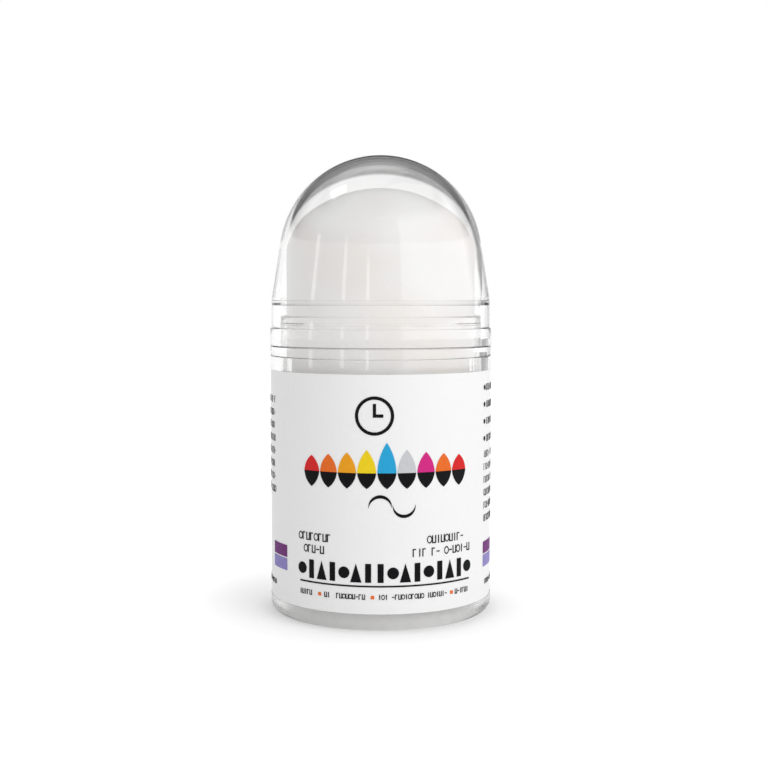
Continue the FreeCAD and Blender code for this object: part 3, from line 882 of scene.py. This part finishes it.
@dataclass
class SmallPrint:
    """Small print on the label, as rows of plain marks."""

    ink: float = 0.05
    seed: int = 11
    step: float = 0.95
    step_height: float = 1.5
    gap_share: float = 0.6
    mark_share: float = 0.22
    ring_share: float = 0.72
    ring_steps: int = 14
    bullet_radius: float = 0.55
    bullet_steps: int = 16
    marks: tuple[Mark, ...] = (Mark.STROKE, Mark.BRIDGE, Mark.HOOK, Mark.RING, Mark.BRIDGE,
                               Mark.HOOK, Mark.RING, Mark.DASH)
    front: list[PrintLine] = field(default_factory=lambda: [
        PrintLine(-43.5, -25.5, 20.1, 1.75, 0.25),
        PrintLine(-40.0, -28.5, 17.4, 1.75, 0.25),
        PrintLine(24.5, 46.0, 19.9, 1.75, 0.25),
        PrintLine(16.8, 50.0, 17.2, 1.75, 0.25, (24.5, 31.5)),
        PrintLine(-43.5, -35.5, 7.75, 1.15, 0.2),
        PrintLine(-28.0, -7.5, 7.75, 1.15, 0.2, (-24.0,)),
        PrintLine(-0.5, 49.0, 7.75, 1.15, 0.2, (4.5, 22.0, 36.2, 37.5, 38.8))])
    side: list[PrintLine] = field(default_factory=lambda: [
        *[PrintLine(-112.0, -67.5 - 1.5 * (row % 3), 49.2 - 2.9 * row, 1.5, 0.13,
                    (-100.0, -88.0 + row, -78.0)) for row in range(8)],
        *[PrintLine(69.5, 112.0, 52.0 - 3.85 * row, 1.5, 0.13, (84.0 + row, 97.0))
          for row in range(4)],
        *[PrintLine(66.5, 112.0 - 2.5 * (row % 3), 36.9 - 2.9 * row, 1.5, 0.13,
                    (78.0 + row, 91.0, 103.0)) for row in range(6)],
        PrintLine(-100.0, -68.5, 7.75, 1.15, 0.2, (-86.0,)),
        PrintLine(68.5, 100.0, 7.75, 1.15, 0.2, (84.0,))])
    bullets: tuple[tuple[float, float], ...] = ((66.3, 52.0), (66.3, 48.15), (66.3, 44.3),
                                                (66.3, 40.45))

    @staticmethod
    def bar(mesh: bmesh.types.BMesh, across: float, height: float, wide: float,
            tall: float) -> None:
        """Draw a bar in the XZ plane.

        Args:
            mesh: Mesh that gets it.
            across: Its middle's distance along the film from the front, in millimetres.
            height: Its middle's height.
            wide: Its width.
            tall: Its height from edge to edge.
        """
        shape = Matrix.Rotation(math.pi / 2, 4, "X") @ Matrix.Diagonal((wide, tall, 1.0, 1.0))
        bmesh.ops.create_grid(mesh, x_segments=1, y_segments=1, size=0.5,
                              matrix=Matrix.Translation((across, 0.0, height)) @ shape)

    def stamp(self, mesh: bmesh.types.BMesh, kind: Mark, across: float, line: PrintLine) -> None:
        """Draw one mark in the XZ plane.

        Args:
            mesh: Mesh that gets it.
            kind: Which mark.
            across: Distance along the film from the front, in millimetres.
            line: The line that it is in.
        """
        weight, tall, height = line.weight, line.tall, line.height
        reach = self.mark_share * tall
        if kind is Mark.RING:
            narrow = Matrix.Diagonal((self.ring_share, 1.0, 1.0, 1.0))
            place = (Matrix.Translation((across, 0.0, height))
                     @ (Matrix.Rotation(math.pi / 2, 4, "X") @ narrow))
            rims = [bmesh.ops.create_circle(mesh, segments=self.ring_steps, radius=radius,
                                            matrix=place)
                    for radius in (0.5 * tall, 0.5 * tall - weight)]
            edges = {edge for rim in rims for vertex in rim["verts"] for edge in vertex.link_edges}
            bmesh.ops.bridge_loops(mesh, edges=list(edges))
            return
        if kind is Mark.DASH:
            self.bar(mesh, across, height, 2.0 * reach, weight)
            return
        if kind is Mark.STROKE:
            self.bar(mesh, across, height, weight, tall)
            return
        self.bar(mesh, across - reach, height, weight, tall)
        span = 2.0 * reach - weight
        if kind is Mark.HOOK:
            self.bar(mesh, across, height + (tall - weight) / 2.0, span, weight)
            return
        self.bar(mesh, across + reach, height, weight, tall)
        self.bar(mesh, across, height - (tall - weight) / 2.0, span, weight)

    def build(self, name: str, lines: list[PrintLine],
              dots: tuple[tuple[float, float], ...] = ()) -> bpy.types.Object:
        """Draw lines flat, wrap them round the film and give them the ink's thickness.

        Args:
            name: Name of the object.
            lines: Lines of small print.
            dots: Angle and height of each bullet.

        Returns:
            The print's object.
        """
        draw = random.Random(self.seed)
        radius = node_radius("barrel")
        per_degree = radius * math.pi / 180.0
        mesh = bmesh.new()
        for line in lines:
            across = line.start * per_degree
            pitch = self.step * line.tall / self.step_height
            kind = Mark.DASH
            while across < line.end * per_degree:
                kind = draw.choice([mark for mark in self.marks if mark is not kind])
                if not any(abs(across - gap * per_degree) < self.gap_share * pitch
                           for gap in line.gaps):
                    self.stamp(mesh, kind, across, line)
                across += pitch
        for angle, height in dots:
            place = Matrix.Translation((angle * per_degree, 0.0, height))
            bmesh.ops.create_circle(mesh, cap_ends=True, segments=self.bullet_steps,
                                    radius=self.bullet_radius,
                                    matrix=place @ Matrix.Rotation(math.pi / 2, 4, "X"))
        bmesh.ops.recalc_face_normals(mesh, faces=mesh.faces)
        self.wrap(mesh, radius - self.ink)
        outer = bmesh.ops.extrude_face_region(mesh, geom=mesh.faces[:], use_keep_orig=True)
        raised = [item for item in outer["geom"] if isinstance(item, bmesh.types.BMVert)]
        share = radius / (radius - self.ink)
        bmesh.ops.scale(mesh, vec=Vector((share, share, 1.0)), verts=raised)
        return finish_mesh(mesh, name, Ink.BLACK.value)

    @staticmethod
    def wrap(mesh: bmesh.types.BMesh, radius: float) -> None:
        """Bend a flat drawing in the XZ plane round the axis, its middle at the front.

        Args:
            mesh: The drawing.
            radius: Radius of the film's outer face.
        """
        for vertex in mesh.verts:
            angle = vertex.co.x / radius
            vertex.co = Vector((radius * math.sin(angle), -radius * math.cos(angle), vertex.co.z))

    def dress(self) -> None:
        """Build both fields of small print and let them ride on the barrel."""
        for name, lines, dots in (("small_print_front", self.front, ()),
                                  ("small_print_sides", self.side, self.bullets)):
            made = self.build(name, lines, dots)
            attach(made, "barrel")
            log.info("%s: %d faces", name, len(made.data.polygons))


@dataclass
class Studio:
    """Floor, world, lamp and camera."""

    floor_size: float = 3.0
    ambient: float = 0.715
    floor_colour: float = 0.9
    # Floor emission near the stick and far from it; the weaker emission near it paints a shadow
    # round the stick's foot.
    floor_emission_with_painted_shadow: tuple[float, float] = (0.22, 0.44)
    # Distances from the axis, in metres, over which the painted shadow fades to the full emission.
    painted_shadow_reach: tuple[float, float] = (0.027, 0.06)
    key_place: tuple[float, float, float] = (0.64, -0.64, 0.50)
    key_size: float = 0.9
    key_power: float = 3.3
    key_aim: tuple[float, float, float] = (0.0, 0.0, 0.05)
    camera_place: tuple[float, float, float] = (0.0, -0.3029, 0.0726)
    camera_pitch: float = 3.886
    camera_yaw: float = 0.145
    focal_pixels: float = 1307.6
    frame_pixels: float = 768.0
    sensor: float = 36.0
    clip_start: float = 0.01
    panel: tuple[float, float] = (22.0, 140.0)
    panel_edge: float = 1.5
    panel_light: float = 1.2
    studio_base: float = 1.1
    ceiling: tuple[float, float, float] = (34.0, 48.0, 0.08)
    backdrop_top: tuple[float, float, float] = (15.5, 18.0, 0.17)
    backdrop_upper: tuple[float, float, float] = (25.0, 33.0, 0.30)
    backdrop_far_top: float = 44.0
    backdrop_far_fade: float = 8.0
    backdrop_side: tuple[float, float, float] = (19.0, 23.0, 0.35)
    backdrop_far_side: float = 42.0
    slits: tuple[tuple[float, float, float], ...] = ((-13.5, 2.2, 2.6), (-39.5, 2.6, 2.6),
                                                     (-76.0, 3.2, 2.6))
    slit_top: tuple[float, float] = (19.0, 21.0)
    softbox: tuple[float, float, float, float] = (-100.0, 57.0, 7.0, 4.0)
    behind: tuple[float, float] = (0.3, 0.5)

    def floor(self) -> None:
        """Pale floor that keeps the stick's shadow, darkened further round its foot by a painted
        shadow, and white further away.
        """
        mesh = bmesh.new()
        bmesh.ops.create_grid(mesh, x_segments=1, y_segments=1, size=self.floor_size / 2)
        data = bpy.data.meshes.new("floor")
        mesh.to_mesh(data)
        mesh.free()
        made = bpy.data.materials.new("floor_paper")
        made.use_nodes = True
        draw = Sketch(made.node_tree)
        surface = made.node_tree.nodes["Principled BSDF"]
        path = draw.add("LightPath")
        seen = draw.math("MAXIMUM", path.outputs["Is Camera Ray"], draw.math(
            "MAXIMUM", path.outputs["Is Glossy Ray"], path.outputs["Is Transmission Ray"]))
        away = draw.add("VectorMath", operation="LENGTH")
        draw.feed(away, {0: draw.add("TexCoord").outputs["Object"]})
        # Emission for camera, glossy and transmission rays, weaker near the stick's axis: a painted
        # shadow round its foot.
        glow = draw.math("MULTIPLY", seen, draw.ramp(
            away.outputs["Value"], *self.painted_shadow_reach, *self.floor_emission_with_painted_shadow))
        tone = self.floor_colour
        draw.feed(surface, {"Base Color": (tone, tone, tone, 1.0), "Roughness": 1.0,
                            "Specular IOR Level": 0.0, "Emission Strength": glow,
                            "Emission Color": (1.0, 1.0, 1.0, 1.0)})
        data.materials.append(made)
        floor = bpy.data.objects.new("floor", data)
        bpy.context.scene.collection.objects.link(floor)

    def world(self) -> None:
        """Even light, a white background, and what polished plastic mirrors and bends."""
        world = bpy.data.worlds.new("studio")
        bpy.context.scene.world = world
        world.use_nodes = True
        draw = Sketch(world.node_tree)
        out = world.node_tree.nodes["Background"]
        ray = draw.add("TexCoord").outputs["Generated"]
        split = draw.feed(draw.add("SeparateXYZ"), {0: ray})
        across, back, height = (split.outputs[name] for name in ("X", "Y", "Z"))
        front = draw.math("MULTIPLY", back, -1.0)
        azimuth = draw.math("DEGREES", draw.math("ARCTAN2", across, front))
        rear = draw.math("DEGREES", draw.math("ARCTAN2", across, back))
        climb = draw.math("DEGREES", draw.math("ARCSINE", height))
        ceiling = draw.ramp(climb, self.ceiling[0], self.ceiling[1], 1.0, self.ceiling[2])
        low, high, dark = self.backdrop_top
        above = draw.math("MAXIMUM", draw.ramp(climb, low, high, 1.0, dark), draw.ramp(
            climb, self.backdrop_far_top, self.backdrop_far_top + self.backdrop_far_fade,
            dark, 1.0))
        low, high, upper = self.backdrop_upper
        above = draw.math("MAXIMUM", above, draw.ramp(climb, low, high, dark, upper))
        low, high, dark = self.backdrop_side
        beside = draw.math("MAXIMUM", draw.ramp(rear, low, high, 1.0, dark), draw.ramp(
            rear, self.backdrop_far_side, self.backdrop_far_side + high - low, dark, 1.0))
        backdrop = draw.math("MINIMUM", above, beside)

        edge = self.panel_edge
        panel = draw.math("MULTIPLY",
                          draw.ramp(azimuth, self.panel[0] - edge, self.panel[0] + edge),
                          draw.ramp(azimuth, self.panel[1] - edge, self.panel[1] + edge, 1.0, 0.0))
        mirrored = draw.math("MULTIPLY_ADD", panel, self.panel_light)
        mirrored.node.inputs[2].default_value = self.studio_base
        for place, half, light in self.slits:
            away = draw.math("ABSOLUTE", draw.math("SUBTRACT", azimuth, place))
            slit = draw.math("MULTIPLY", draw.ramp(away, half * 0.5, half, light, 0.0),
                             draw.ramp(climb, *self.slit_top, 1.0, 0.0))
            mirrored = draw.math("ADD", mirrored, slit)
        mirrored = draw.math("MULTIPLY", mirrored, ceiling)
        turn, lift, half, light = self.softbox
        aside = draw.math("MULTIPLY", draw.math("SUBTRACT", azimuth, turn),
                          math.cos(math.radians(lift)))
        lamp = draw.math("MAXIMUM", draw.math("ABSOLUTE", aside),
                         draw.math("ABSOLUTE", draw.math("SUBTRACT", climb, lift)))
        mirrored = draw.math("ADD", mirrored, draw.ramp(lamp, half * 0.8, half, light, 0.0))
        mirrored = self.choose(draw, draw.ramp(back, *self.behind), mirrored, backdrop)

        path = draw.add("LightPath")
        light = self.choose(draw, path.outputs["Is Glossy Ray"], self.ambient, mirrored)
        light = self.choose(draw, path.outputs["Is Transmission Ray"], light, backdrop)
        light = self.choose(draw, path.outputs["Is Camera Ray"], light, 1.0)
        draw.feed(out, {"Color": (1.0, 1.0, 1.0, 1.0), "Strength": light})

    @staticmethod
    def choose(draw: Sketch, which: bpy.types.NodeSocket, off: object,
               on: object) -> bpy.types.NodeSocket:
        """One of two strengths.

        Args:
            draw: Sketch of the world's tree.
            which: 1 where the second is taken.
            off: Strength where it is 0.
            on: Strength where it is 1.

        Returns:
            The chosen strength.
        """
        mix = draw.add("Mix", data_type="FLOAT")
        return draw.feed(mix, {0: which, 2: off, 3: on}).outputs[0]

    def key(self) -> None:
        """Soft lamp from the front right, not mirrored in the plastic."""
        lamp = bpy.data.lights.new("key", "AREA")
        lamp.shape = "DISK"
        lamp.size = self.key_size
        lamp.energy = self.key_power
        made = bpy.data.objects.new("key", lamp)
        place = Vector(self.key_place)
        aim = Vector(self.key_aim) - place
        made.location = place
        made.rotation_euler = aim.to_track_quat("-Z", "Y").to_euler()
        made.visible_camera = False
        made.visible_glossy = False
        made.visible_transmission = False
        bpy.context.scene.collection.objects.link(made)

    def camera(self) -> None:
        """Camera at the photograph's place."""
        data = bpy.data.cameras.new("camera")
        data.sensor_width = self.sensor
        data.lens = self.focal_pixels * self.sensor / self.frame_pixels
        data.clip_start = self.clip_start
        made = bpy.data.objects.new("camera", data)
        made.location = self.camera_place
        made.rotation_euler = (math.radians(90.0 - self.camera_pitch), 0.0,
                               math.radians(-self.camera_yaw))
        bpy.context.scene.collection.objects.link(made)
        bpy.context.scene.camera = made

    def build(self) -> None:
        """Set up the studio."""
        self.floor()
        self.world()
        self.key()
        self.camera()
        bpy.context.scene.view_settings.view_transform = "Standard"


def main() -> None:
    """Build the stick's pieces in order, dress the CAD's own and set up the studio."""
    Barrel().dress()
    LabelFilm().dress()
    SmallPrint().dress()
    Stone().dress()
    Overcap().dress()
    redress("stone_carrier", Plastic.CARRIER.value)
    redress("lead_screw", Plastic.SCREW.value)
    redress("base_dial", Plastic.DIAL.value)
    for ink in Ink:
        redress("print_" + ink.name.lower(), ink.value)
    Studio().build()


if __name__ == "__main__":
    main()
